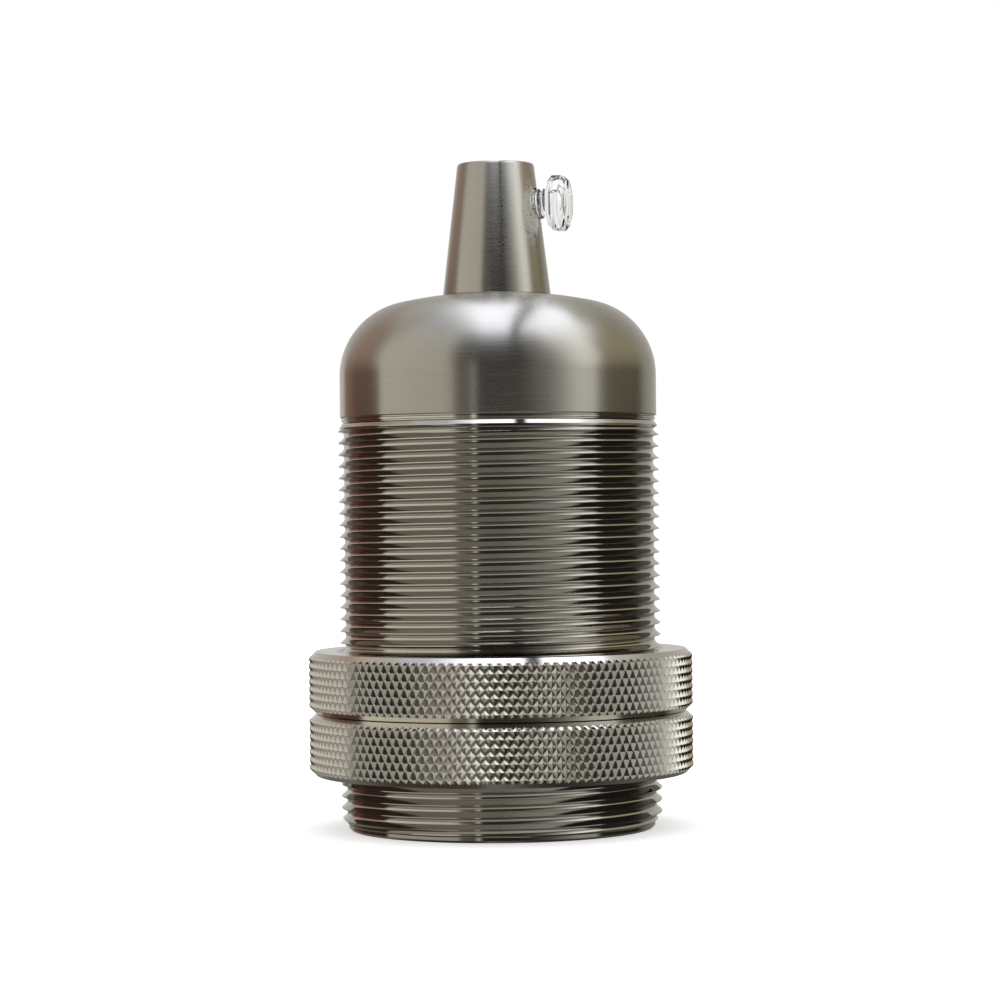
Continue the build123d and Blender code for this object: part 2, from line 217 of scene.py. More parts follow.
def slice_off(piece: Object, height: float, above: bool) -> None:
    """Cuts a piece flat at a height and closes the cut with a face.

    Args:
        piece: the object to cut.
        height: the level of the cut, in millimetres.
        above: whether what lies above the cut goes, or what lies below.
    """
    take(piece)
    bpy.ops.object.mode_set(mode="EDIT")
    bpy.ops.mesh.select_all(action="SELECT")
    bpy.ops.mesh.bisect(
        plane_co=(0, 0, height * MM), plane_no=(0, 0, 1), use_fill=True,
        clear_outer=above, clear_inner=not above, threshold=SLICE_GAP,
    )
    bpy.ops.object.mode_set(mode="OBJECT")


def trim(piece: Object, tool: Object, how: Trim) -> None:
    """Cuts, joins or clips a piece with a tool, and takes the tool away.

    Args:
        piece: the object to shape.
        tool: the closed object that shapes it.
        how: what the tool does.
    """
    apply_modifier(piece, "BOOLEAN", operation=how.value, object=tool, solver="EXACT")
    bpy.data.objects.remove(tool)
    clean_mesh(piece)


def rod(name: str, radius: float, low: float, high: float, y: float = 0) -> Object:
    """An upright cylinder between two heights.

    Args:
        name: the new object's name.
        radius: its radius in millimetres.
        low: its lower end in millimetres.
        high: its upper end in millimetres.
        y: how far its axis stands along Y, in millimetres.

    Returns:
        The cylinder.
    """
    deselect()
    centre = Vector((0, y, (low + high) / 2)) * MM
    bpy.ops.mesh.primitive_cylinder_add(
        vertices=64, radius=radius * MM, depth=(high - low) * MM, location=centre
    )
    piece = bpy.context.object
    piece.name = name
    return settle(piece)


def slab(name: str, size: Triple, centre: Triple) -> Object:
    """A box of a size about a centre, in millimetres.

    Args:
        name: the new object's name.
        size: lengths along X, Y and Z.
        centre: the middle of the box.

    Returns:
        The box.
    """
    deselect()
    bpy.ops.mesh.primitive_cube_add(size=1, location=Vector(centre) * MM)
    piece = bpy.context.object
    piece.name = name
    piece.scale = Vector(size) * MM
    return settle(piece)


def lay_along_x(piece: Object, origin: Triple) -> None:
    """Turns an upright piece so that its Z axis points along +X, then moves it.

    Args:
        piece: the object, modelled about the origin.
        origin: where its origin goes, in millimetres.
    """
    piece.data.transform(Matrix.Rotation(math.radians(90), 4, "Y"))
    piece.data.transform(Matrix.Translation(Vector(origin) * MM))


def arc(centre: Pair, radius: float, start: float, end: float, count: int) -> Outline:
    """Points along an arc of an outline.

    Args:
        centre: radius and height of the arc's centre, in millimetres.
        radius: the arc's radius.
        start: first angle in degrees, from the outward direction.
        end: last angle in degrees.
        count: how many steps the arc takes.

    Returns:
        The points, both ends included.
    """
    points = []
    for step in range(count + 1):
        angle = math.radians(start + (end - start) * step / count)
        points.append((centre[0] + radius * math.cos(angle), centre[1] + radius * math.sin(angle)))
    return points


def add_node(tree: NodeTree, kind: str, **settings: object) -> Node:
    """Adds one shader node in the editor's next free place.

    Args:
        tree: the node tree.
        kind: the node's type.
        **settings: the node's own properties.

    Returns:
        The node.
    """
    row, column = divmod(len(tree.nodes), NODES_IN_ROW)
    node = tree.nodes.new(kind)
    node.location = (column * NODE_STEP, -row * NODE_STEP)
    for key, value in settings.items():
        setattr(node, key, value)
    return node


def calculate(tree: NodeTree, operation: str, first: Socket, second: Socket | float) -> Socket:
    """Works out a number from two others.

    Args:
        tree: the node tree.
        operation: the math node's operation.
        first: the first number.
        second: the second number, linked or fixed.

    Returns:
        The result.
    """
    node = add_node(tree, "ShaderNodeMath", operation=operation)
    tree.links.new(first, node.inputs[0])
    if isinstance(second, Socket):
        tree.links.new(second, node.inputs[1])
    else:
        node.inputs[1].default_value = second
    return node.outputs[0]


def noise(tree: NodeTree, vector: Socket, detail: float) -> Node:
    """Adds a noise pattern.

    Args:
        tree: the node tree.
        vector: the place that it reads.
        detail: how many finer layers it has.

    Returns:
        The noise node, whose Scale is still to be set.
    """
    node = add_node(tree, "ShaderNodeTexNoise")
    node.inputs["Detail"].default_value = detail
    tree.links.new(vector, node.inputs["Vector"])
    return node


def new_group(name: str, inputs: dict[str, float], outputs: list[str]) -> tuple[NodeTree, Node, Node]:
    """Starts a shader node group with number sockets.

    Args:
        name: the group's name.
        inputs: each input's name and its default.
        outputs: the outputs' names.

    Returns:
        The tree, its input node and its output node.
    """
    tree = bpy.data.node_groups.new(name, "ShaderNodeTree")
    for label, value in inputs.items():
        socket = tree.interface.new_socket(name=label, in_out="INPUT", socket_type="NodeSocketFloat")
        socket.default_value = value
    for label in outputs:
        tree.interface.new_socket(name=label, in_out="OUTPUT", socket_type="NodeSocketFloat")
    return tree, add_node(tree, "NodeGroupInput"), add_node(tree, "NodeGroupOutput")


def brush_lines() -> NodeTree:
    """Fine lines that run round the axis, as a lathe's abrasive cloth leaves them.

    Returns:
        A group with the inputs Density, Swirl and Patch Scale, and the outputs Lines and Patches.
    """
    inputs = {"Density": 9000.0, "Swirl": 1.5, "Patch Scale": 160.0}
    tree, entry, leave = new_group("brush_lines", inputs, ["Lines", "Patches"])
    density = entry.outputs["Density"]
    here = add_node(tree, "ShaderNodeTexCoord").outputs["Object"]
    split = add_node(tree, "ShaderNodeSeparateXYZ")
    tree.links.new(here, split.inputs[0])
    angle = calculate(tree, "ARCTAN2", split.outputs["Y"], split.outputs["X"])
    flat = add_node(tree, "ShaderNodeCombineXYZ")
    tree.links.new(split.outputs["X"], flat.inputs["X"])
    tree.links.new(split.outputs["Y"], flat.inputs["Y"])
    reach = add_node(tree, "ShaderNodeVectorMath", operation="LENGTH")
    tree.links.new(flat.outputs[0], reach.inputs[0])
    stretched = add_node(tree, "ShaderNodeCombineXYZ")
    for axis, number, factor in (
        ("X", angle, entry.outputs["Swirl"]),
        ("Y", reach.outputs["Value"], density),
        ("Z", split.outputs["Z"], density),
    ):
        tree.links.new(calculate(tree, "MULTIPLY", number, factor), stretched.inputs[axis])
    lines = noise(tree, stretched.outputs[0], 5.0)
    lines.inputs["Scale"].default_value = 1.0
    lines.inputs["Roughness"].default_value = 0.65
    patches = noise(tree, here, 3.0)
    tree.links.new(entry.outputs["Patch Scale"], patches.inputs["Scale"])
    tree.links.new(lines.outputs["Fac"], leave.inputs["Lines"])
    tree.links.new(patches.outputs["Fac"], leave.inputs["Patches"])
    return tree


def fine_mottle() -> NodeTree:
    """Slow cloudy change over a surface, with fine grains on top.

    Returns:
        A group with the inputs Cloud Scale and Grain Scale, and the outputs Cloud and Grain.
    """
    inputs = {"Cloud Scale": 120.0, "Grain Scale": 4000.0}
    tree, entry, leave = new_group("fine_mottle", inputs, ["Cloud", "Grain"])
    here = add_node(tree, "ShaderNodeTexCoord").outputs["Object"]
    for label, detail in (("Cloud", 4.0), ("Grain", 2.0)):
        pattern = noise(tree, here, detail)
        tree.links.new(entry.outputs[f"{label} Scale"], pattern.inputs["Scale"])
        tree.links.new(pattern.outputs["Fac"], leave.inputs[label])
    return tree


@dataclass(frozen=True)
class Tone:
    """A colour pair that a surface drifts between, and a roughness pair."""

    dark: Triple
    light: Triple
    gloss_low: float
    gloss_high: float


class FinishKind(Enum):
    """The families of finish on the holder."""

    BRUSHED = "brushed"
    PLATED = "plated"
    GLAZED = "glazed"
    CLEAR = "clear"


@dataclass(frozen=True)
class Finish:
    """One finish of the holder, with what its shader needs."""

    name: str
    kind: FinishKind
    tone: Tone
    metallic: float = 1.0
    anisotropy: float = 0.0
    brush_turn: float = 0.25
    bump: float = 0.1
    groove: float = 0.00002
    ior: float = 1.5
    glaze: float = 0.6
    glaze_roughness: float = 0.06

    def material(self, groups: dict[str, NodeTree]) -> Material:
        """Builds the finish's material.

        Args:
            groups: the shared node groups by name.

        Returns:
            The material.
        """
        material = bpy.data.materials.new(self.name)
        material.use_nodes = True
        tree = material.node_tree
        shader = tree.nodes["Principled BSDF"]
        shader.inputs["Metallic"].default_value = self.metallic
        shader.inputs["IOR"].default_value = self.ior
        brushed = self.kind is FinishKind.BRUSHED
        pattern = add_node(tree, "ShaderNodeGroup")
        pattern.node_tree = groups["brush_lines" if brushed else "fine_mottle"]
        fine, slow = ("Lines", "Patches") if brushed else ("Grain", "Cloud")
        colour = add_node(tree, "ShaderNodeMix", data_type="RGBA")
        colour.inputs["A"].default_value = (*self.tone.dark, 1)
        colour.inputs["B"].default_value = (*self.tone.light, 1)
        tree.links.new(pattern.outputs[slow], colour.inputs["Factor"])
        tree.links.new(colour.outputs["Result"], shader.inputs["Base Color"])
        gloss = add_node(tree, "ShaderNodeMapRange")
        gloss.inputs["To Min"].default_value = self.tone.gloss_low
        gloss.inputs["To Max"].default_value = self.tone.gloss_high
        tree.links.new(pattern.outputs[fine], gloss.inputs["Value"])
        tree.links.new(gloss.outputs["Result"], shader.inputs["Roughness"])
        bump = add_node(tree, "ShaderNodeBump")
        bump.inputs["Strength"].default_value = self.bump
        bump.inputs["Distance"].default_value = self.groove
        tree.links.new(pattern.outputs[fine], bump.inputs["Height"])
        tree.links.new(bump.outputs["Normal"], shader.inputs["Normal"])
        if self.anisotropy:
            shader.inputs["Anisotropic"].default_value = self.anisotropy
            shader.inputs["Anisotropic Rotation"].default_value = self.brush_turn
            tangent = add_node(tree, "ShaderNodeTangent", direction_type="RADIAL", axis="Z")
            tree.links.new(tangent.outputs["Tangent"], shader.inputs["Tangent"])
        if self.kind is FinishKind.GLAZED:
            shader.inputs["Coat Weight"].default_value = self.glaze
            shader.inputs["Coat Roughness"].default_value = self.glaze_roughness
        if self.kind is FinishKind.CLEAR:
            shader.inputs["Transmission Weight"].default_value = 1.0
        return material


SATIN_NICKEL = Finish(
    "satin_nickel", FinishKind.BRUSHED,
    Tone((0.45, 0.43, 0.385), (0.50, 0.48, 0.435), 0.20, 0.32), anisotropy=0.92, bump=0.12,
)
BRIGHT_NICKEL = Finish(
    "bright_nickel", FinishKind.PLATED,
    Tone((0.50, 0.48, 0.435), (0.56, 0.54, 0.50), 0.05, 0.10), bump=0.02,
)
RING_NICKEL = Finish(
    "ring_nickel", FinishKind.PLATED,
    Tone((0.64, 0.62, 0.57), (0.70, 0.68, 0.63), 0.08, 0.14), bump=0.02,
)
ZINC_STEEL = Finish(
    "zinc_steel", FinishKind.PLATED,
    Tone((0.50, 0.51, 0.52), (0.62, 0.62, 0.60), 0.22, 0.38),
)
TURNED_BRASS = Finish(
    "turned_brass", FinishKind.PLATED,
    Tone((0.62, 0.43, 0.17), (0.78, 0.58, 0.27), 0.16, 0.32),
)
SPRING_BRONZE = Finish(
    "spring_bronze", FinishKind.PLATED,
    Tone((0.55, 0.32, 0.16), (0.70, 0.44, 0.24), 0.20, 0.34),
)
PORCELAIN = Finish(
    "porcelain", FinishKind.GLAZED,
    Tone((0.80, 0.785, 0.745), (0.86, 0.85, 0.82), 0.16, 0.26), metallic=0.0, ior=1.52,
)
CLEAR_PLASTIC = Finish(
    "clear_plastic", FinishKind.CLEAR,
    Tone((0.96, 0.97, 0.97), (1.0, 1.0, 1.0), 0.01, 0.04), metallic=0.0, bump=0.02, ior=1.49,
)
FITTINGS = {
    ZINC_STEEL: (
        "threaded_nipple", "lock_washer", "nipple_nut", "mounting_bracket",
        "core_screw_left", "core_screw_right", "terminal_screw_live", "terminal_screw_neutral",
    ),
    TURNED_BRASS: (
        "earth_washer", "earth_screw", "shell_rivet", "contact_rivet",
        "contact_button", "terminal_live", "terminal_neutral",
    ),
    BRIGHT_NICKEL: ("screw_shell",),
    PORCELAIN: ("porcelain_body",),
}


@dataclass
class Wardrobe:
    """Makes each finish once and dresses pieces in it."""

    groups: dict[str, NodeTree]
    made: dict[str, Material] = field(default_factory=dict)

    def material(self, finish: Finish) -> Material:
        """Finds a finish's material, and makes it the first time.

        Args:
            finish: the finish.

        Returns:
            Its material.
        """
        if finish.name not in self.made:
            self.made[finish.name] = finish.material(self.groups)
        return self.made[finish.name]

    def dress(self, piece: Object, finish: Finish) -> None:
        """Gives a new piece one finish all over.

        Args:
            piece: the object to dress.
            finish: its finish.
        """
        piece.data.materials.clear()
        piece.data.materials.append(self.material(finish))

    def dress_fittings(self) -> None:
        """Gives each carried-over node its finish through its object's slots."""
        for finish, nodes in FITTINGS.items():
            for node in nodes:
                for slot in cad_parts[node].material_slots:
                    slot.link = "OBJECT"
                    slot.material = self.material(finish)


def place(piece: Object, body: str, slot: str, *nodes: str) -> None:
    """Hands a finished piece to the frame.

    Args:
        piece: the finished object.
        body: the body that it moves with.
        slot: the record's material slot; not used.
        *nodes: the nodes that it stands for.
    """
    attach(piece, body)
    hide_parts(*nodes)
    LOG.info("%s: %d faces, on %s", piece.name, len(piece.data.polygons), body)


@dataclass
class Barrel:
    """The threaded barrel, from its plain lip to the neck inside the cap."""

    crest: float
    top: float
    seam: float
    depth: float = 0.72
    pitch: float = 1.5
    bore: float = 17.9
    lip: float = 19.6
    neck: float = 18.9
    runout: float = 20.1
    thread_end: float = 1.5
    steps: int = 136
    smoothing: float = 32

    def tooth(self) -> Outline:
        """One pitch of the thread: a steep underside, a narrow crest, a hollow upper side and a flat root.

        Returns:
            Radius and height of each point, over one pitch.
        """
        root = self.crest - self.depth
        return [
            (root + 0.014, 0.0),
            (root + 0.034, 0.18),
            (root + 0.075, 0.27),
            (root + 0.165, 0.345),
            (root + 0.33, 0.40),
            (self.crest - 0.04, 0.45),
            (self.crest, 0.475),
            (self.crest, 0.575),
            (self.crest - 0.14, 0.675),
            (self.crest - 0.28, 0.785),
            (self.crest - 0.40, 0.885),
            (self.crest - 0.50, 0.98),
            (root + 0.135, 1.07),
            (root + 0.075, 1.16),
            (root + 0.03, 1.25),
            (root + 0.003, 1.34),
            (root + 0.014, self.pitch),
        ]

    def envelope(self) -> Object:
        """The turned form that the helical rod is clipped to.

        Returns:
            The closed tool.
        """
        outside = self.crest + 0.05
        top = self.seam - 0.5
        outline = [
            (self.bore, 0.3),
            (self.bore + 0.3, 0.0),
            (self.lip - 0.3, 0.0),
            (self.lip, 0.3),
            (self.lip, 0.7),
            (outside, 1.65),
            (outside, self.seam - 1.6),
            (outside, top),
            (self.bore, top),
            (self.bore, 0.3),
        ]
        return turn("barrel_envelope", outline, self.steps)

    def collar(self) -> Object:
        """The plain turned end above the thread: a chamfer, a bead under the cap, and the neck.

        Returns:
            The closed collar, which starts a little below the thread's end.
        """
        root = self.crest - self.depth
        shoulder = self.crest - 0.15
        bead = self.runout - 0.2
        low = self.seam - 1.9
        outline = [
            (self.bore, low),
            (root - 0.2, low),
            (root + 0.1, self.seam - 1.62),
            (shoulder, self.seam - 1.3),
            (shoulder, self.seam - 1.22),
            (bead, self.seam - 0.62),
            (bead, self.seam - 0.5),
            (self.runout, self.seam - 0.42),
            (self.runout, self.seam - 0.2),
            (self.runout - 0.15, self.seam - 0.1),
            (self.runout - 0.15, self.seam),
            (self.neck, self.seam),
            (self.neck, self.top - 0.3),
            (self.neck - 0.3, self.top),
            (self.bore, self.top),
            (self.bore, low),
        ]
        return turn("barrel_collar", outline, self.steps)

    def build(self, wardrobe: Wardrobe) -> None:
        """Winds the thread, clips it, adds the collar and dresses the barrel.

        Args:
            wardrobe: where the finish comes from.
        """
        turns = math.ceil((self.seam + 4) / self.pitch)
        piece = coil("barrel", self.tooth(), turns, self.steps)
        piece.data.transform(Matrix.Translation((0, 0, -2 * self.pitch * MM)))
        slice_off(piece, self.seam - self.thread_end, above=True)
        slice_off(piece, -0.5, above=False)
        clean_mesh(piece)
        trim(piece, self.envelope(), Trim.KEEP_INSIDE)
        trim(piece, self.collar(), Trim.JOIN)
        smooth(piece, self.smoothing)
        wardrobe.dress(piece, BRIGHT_NICKEL)
        place(piece, "skirt", "polished_nickel", "threaded_skirt")


@dataclass
class ShadeRing:
    """One knurled shade ring: chamfered, with diamond pyramids round its edge."""

    name: str
    body: str
    node: str
    low: float
    high: float
    radius: float
    bore: float = 20.65
    bore_chamfer: float = 0.5
    face: float = 23.7
    chamfer: float = 0.85
    teeth: int = 131
    depth: float = 0.35
    row: float = 1.98
    tip_loss: float = 0.06
    spare: float = 0.3
    smoothing: float = 27

    def pyramid(self) -> Object:
        """One pyramid of the knurl, facing +X, poked up from a diamond.

        Returns:
            The open pyramid, whose corners lie on the knurl's root.
        """
        root = self.radius - self.depth
        half_step = math.pi / self.teeth
        deselect()
        bpy.ops.mesh.primitive_circle_add(
            vertices=4, radius=1, fill_type="NGON", rotation=(0, math.pi / 2, 0)
        )
        piece = bpy.context.object
        piece.name = self.name
        settle(piece)
        piece.scale = Vector((1, root * math.sin(half_step), self.row / 2)) * MM
        piece.location = Vector((root, 0, self.low - self.row / 2)) * MM
        settle(piece)
        sagitta = root * (1 - math.cos(half_step)) * MM
        bpy.ops.object.mode_set(mode="EDIT")
        bpy.ops.mesh.select_mode(type="VERT")
        bpy.ops.mesh.select_all(action="DESELECT")
        bpy.ops.object.mode_set(mode="OBJECT")
        for vertex in piece.data.vertices:
            vertex.select = abs(vertex.co.y) > 0.1 * MM
        bpy.ops.object.mode_set(mode="EDIT")
        bpy.ops.transform.translate(value=(-sagitta, 0, 0))
        bpy.ops.mesh.select_all(action="SELECT")
        bpy.ops.mesh.normals_make_consistent(inside=False)
        bpy.ops.mesh.poke(offset=(self.depth + self.tip_loss) * MM)
        bpy.ops.object.mode_set(mode="OBJECT")
        # An open face has no inside to tell by, so a tip that was poked inwards is mirrored.
        for vertex in piece.data.vertices:
            if vertex.co.x < (root - 0.6 * self.depth) * MM:
                vertex.co.x = 2 * root * MM - vertex.co.x
        return piece

    def tooth_column(self) -> Object:
        """A column of pyramids, and the column that stands half a step beside it and half a row up.

        Returns:
            Both columns, as one open surface.
        """
        rows = math.ceil((self.high - self.low) / self.row) + 1
        column = self.pyramid()
        apply_modifier(
            column, "ARRAY", count=rows + 1, use_relative_offset=False, use_constant_offset=True,
            constant_offset_displace=(0, 0, self.row * MM),
            use_merge_vertices=True, merge_threshold=MERGE_GAP,
        )
        take(column)
        bpy.ops.object.duplicate()
        beside = bpy.context.object
        beside.rotation_euler = (0, 0, math.pi / self.teeth)
        beside.location = (0, 0, -self.row / 2 * MM)
        settle(beside)
        column.select_set(True)
        bpy.context.view_layer.objects.active = column
        bpy.ops.object.join()
        return column

    def envelope(self) -> Object:
        """The turned ring that the knurled rod is clipped to.

        Returns:
            The closed tool.
        """
        inside = self.bore + self.bore_chamfer
        outline = [
            (self.bore, self.low + self.bore_chamfer),
            (inside, self.low),
            (self.face, self.low),
            (self.radius, self.low + self.chamfer),
            (self.radius, self.high - self.chamfer),
            (self.face, self.high),
            (inside, self.high),
            (self.bore, self.high - self.bore_chamfer),
            (self.bore, self.low + self.bore_chamfer),
        ]
        return turn("ring_envelope", outline, self.teeth * 2)

    def build(self, wardrobe: Wardrobe) -> None:
        """Arrays the pyramids round the ring, clips them and dresses the ring.

        Args:
            wardrobe: where the finish comes from.
        """
        piece = self.tooth_column()
        deselect()
        bpy.ops.object.empty_add(rotation=(0, 0, 2 * math.pi / self.teeth))
        hub = bpy.context.object
        apply_modifier(
            piece, "ARRAY", count=self.teeth,
            use_relative_offset=False, use_object_offset=True, offset_object=hub,
            use_merge_vertices=True, use_merge_vertices_cap=True, merge_threshold=MERGE_GAP,
        )
        bpy.data.objects.remove(hub)
        clean_mesh(piece)
        slice_off(piece, self.high + self.spare, above=True)
        slice_off(piece, self.low - self.spare, above=False)
        clean_mesh(piece)
        trim(piece, self.envelope(), Trim.KEEP_INSIDE)
        smooth(piece, self.smoothing)
        wardrobe.dress(piece, RING_NICKEL)
        place(piece, self.body, "polished_nickel", self.node)


@dataclass
class DomedCap:
    """The domed cap: a thin turned cup with a flat land for the grip."""

    seam: float
    land: float
    radius: float
    wall: float = 1.1
    edge: float = 0.15
    straight: float = 5.3
    corner: float = 9.6
    sweep: float = 78.0
    land_radius: float = 7.3
    hole: float = 5.12
    corner_steps: int = 24
    crown_steps: int = 8
    steps: int = 256
    smoothing: float = 28

    def side(self, inset: float) -> Outline:
        """The cap's side and crown from the seam up to the land.

        Args:
            inset: how far the line lies inside the outer face.

        Returns:
            The outline points.
        """
        sweep = math.radians(self.sweep)
        crown = (self.radius - self.corner) / math.cos(sweep) + self.corner - inset
        centre = self.seam + self.straight
        crown_centre = centre + (self.corner - inset - crown) * math.sin(sweep)
        knuckle = arc(
            (self.radius - self.corner, centre), self.corner - inset, 0, self.sweep, self.corner_steps
        )
        land_angle = math.degrees(math.acos(self.land_radius / crown))
        top = arc((0, crown_centre), crown, self.sweep, land_angle, self.crown_steps)
        return [(self.radius - inset, self.seam)] + knuckle + top[1:]

    def build(self, wardrobe: Wardrobe) -> None:
        """Turns and dresses the cap.

        Args:
            wardrobe: where the finish comes from.
        """
        outer = self.side(0)
        outer[0] = (self.radius, self.seam + self.edge)
        outline = [(self.radius - self.edge, self.seam)] + outer
        outline += [(self.hole, self.land), (self.hole, self.land - self.wall)]
        outline += list(reversed(self.side(self.wall))) + outline[:1]
        piece = turn("cap_dome", outline, self.steps)
        smooth(piece, self.smoothing)
        wardrobe.dress(piece, SATIN_NICKEL)
        place(piece, "cap", "brushed_nickel", "dome_cap")


@dataclass
class CableGrip:
    """The tapered cable grip with its socket, cable bore and side hole."""

    low: float
    high: float
    base: float = 6.9
    tip: float = 4.9
    tip_round: float = 0.35
    bore: float = 3.6
    bore_chamfer: float = 0.25
    socket: float = 5.12
    socket_height: float = 7.3
    screw_level: float = 11.6
    screw_hole: float = 2.05
    steps: int = 192
    smoothing: float = 28

    def build(self, wardrobe: Wardrobe) -> None:
        """Turns the grip, drills its side and dresses it.

        Args:
            wardrobe: where the finish comes from.
        """
        shoulder = self.low + self.socket_height
        round_low = self.high - self.tip_round
        outline = [
            (self.socket, self.low),
            (self.base - 0.1, self.low),
            (self.base, self.low + 0.12),
            (self.tip + 0.03, round_low),
        ]
        outline += arc((self.tip - self.tip_round, round_low), self.tip_round, 8, 90, 5)
        outline += [
            (self.bore + self.bore_chamfer, self.high),
            (self.bore, self.high - self.bore_chamfer),
            (self.bore, shoulder),
            (self.socket, shoulder),
            (self.socket, self.low),
        ]
        piece = turn("grip_sleeve", outline, self.steps)
        drill = rod("drill", self.screw_hole, 0, self.base + 2)
        lay_along_x(drill, (0, 0, self.low + self.screw_level))
        trim(piece, drill, Trim.CUT)
        smooth(piece, self.smoothing)
        wardrobe.dress(piece, SATIN_NICKEL)
        place(piece, "grip", "brushed_nickel", "cable_grip")


@dataclass
class ThumbScrew:
    """The clear thumb screw: a threaded shank and an eight-sided head with an upright slot."""

    level: float
    tip: float = 3.75
    head: float = 7.15
    head_height: float = 2.35
    across: float = 6.9
    facet: float = 0.62
    edge: float = 0.05
    slot_width: float = 0.9
    slot_depth: float = 0.55
    radius: float = 1.95
    pitch: float = 0.7
    thread_depth: float = 0.32
    thread_flat: float = 0.08
    smoothing: float = 25

    def shank(self) -> Object:
        """The threaded shank, upright, with its seat at Z = 0.

        Returns:
            The closed shank, which reaches a little into the head.
        """
        root = self.radius - self.thread_depth
        middle = self.pitch / 2
        tooth = [
            (root, 0.0),
            (root, self.thread_flat),
            (self.radius - self.edge, middle - self.thread_flat),
            (self.radius, middle),
            (self.radius - self.edge, middle + self.thread_flat),
            (root, self.pitch - self.thread_flat),
            (root, self.pitch),
        ]
        length = self.head - self.tip
        piece = coil("screw_shank", tooth, math.ceil(length / self.pitch) + 3, 40)
        piece.data.transform(Matrix.Translation((0, 0, (-length - 1.2 * self.pitch) * MM)))
        slice_off(piece, 0.3, above=True)
        slice_off(piece, -length, above=False)
        clean_mesh(piece)
        return piece

    def knob(self) -> Object:
        """The faceted head, upright, with its seat at Z = 0.

        Returns:
            The closed head.
        """
        deselect()
        corner = self.across / 2 / math.cos(math.pi / 8)
        bpy.ops.mesh.primitive_cylinder_add(
            vertices=8, radius=corner * MM, depth=self.head_height * MM,
            location=(0, 0, self.head_height / 2 * MM), rotation=(0, 0, math.pi / 8),
        )
        piece = settle(bpy.context.object)
        piece.name = "screw_knob"
        bpy.ops.object.mode_set(mode="EDIT")
        bpy.ops.mesh.select_mode(type="FACE")
        bpy.ops.mesh.select_all(action="DESELECT")
        bpy.ops.object.mode_set(mode="OBJECT")
        for face in piece.data.polygons:
            face.select = abs(face.normal.z) > 0.9
        bpy.ops.object.mode_set(mode="EDIT")
        bpy.ops.mesh.bevel(offset=self.facet * MM, segments=1, affect="EDGES")
        bpy.ops.object.mode_set(mode="OBJECT")
        apply_modifier(piece, "BEVEL", width=self.edge * MM, segments=2, limit_method="ANGLE")
        return piece

    def build(self, wardrobe: Wardrobe) -> None:
        """Joins head and shank, cuts the slot and dresses the screw.

        Args:
            wardrobe: where the finish comes from.
        """
        piece = self.knob()
        trim(piece, self.shank(), Trim.JOIN)
        opening = (self.across + 1, self.slot_width, 2 * self.slot_depth)
        trim(piece, slab("slot", opening, (0, 0, self.head_height)), Trim.CUT)
        lay_along_x(piece, (self.head, 0, self.level))
        piece.name = "thumb_screw"
        smooth(piece, self.smoothing)
        wardrobe.dress(piece, CLEAR_PLASTIC)
        place(piece, "clamp_screw", "clear_plastic", "grip_screw")


@dataclass
class ContactLeaf:
    """The sprung leaf of the centre contact: a strip that steps down from its rivet to its button."""

    low: Vector
    high: Vector
    sheet: float = 0.5
    edge: float = 0.06
    bend: float = 6.6
    rivet_at: float = 10.0
    rivet_hole: float = 1.35
    button_hole: float = 1.0
    smoothing: float = 30

    def strip(self) -> Object:
        """The strip's blocks, drawn out from its root towards the tip.

        Returns:
            The closed blocks, without their holes.
        """
        tip = self.low.y
        drop = self.high.z - self.low.z - self.sheet
        root = (self.high.x - self.low.x, self.high.y - self.bend, self.sheet)
        piece = slab("leaf", root, (0, (self.high.y + self.bend) / 2, self.high.z - self.sheet / 2))
        # The box's points stay selected here, so the whole block is drawn out, not only its end face.
        for face in piece.data.polygons:
            face.select = face.normal.y < -0.9
        bpy.ops.object.mode_set(mode="EDIT")
        bpy.ops.mesh.select_mode(type="FACE")
        for step in ((0, -(self.bend + tip), -drop), (0, 2 * tip, 0)):
            bpy.ops.mesh.extrude_region_move(TRANSFORM_OT_translate={"value": Vector(step) * MM})
        bpy.ops.object.mode_set(mode="OBJECT")
        apply_modifier(piece, "BEVEL", width=self.edge * MM, segments=2, limit_method="ANGLE")
        return piece

    def build(self, wardrobe: Wardrobe) -> None:
        """Cuts the holes of rivet and button, and dresses the leaf.

        Args:
            wardrobe: where the finish comes from.
        """
        piece = self.strip()
        below, above = self.low.z - 1, self.high.z + 1
        trim(piece, rod("rivet_hole", self.rivet_hole, below, above, self.rivet_at), Trim.CUT)
        trim(piece, rod("button_hole", self.button_hole, below, above), Trim.CUT)
        piece.name = "leaf"
        smooth(piece, self.smoothing)
        wardrobe.dress(piece, SPRING_BRONZE)
        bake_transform(piece)
        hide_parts("contact_leaf")
        LOG.info("%s: %d faces, between cap and button", piece.name, len(piece.data.polygons))


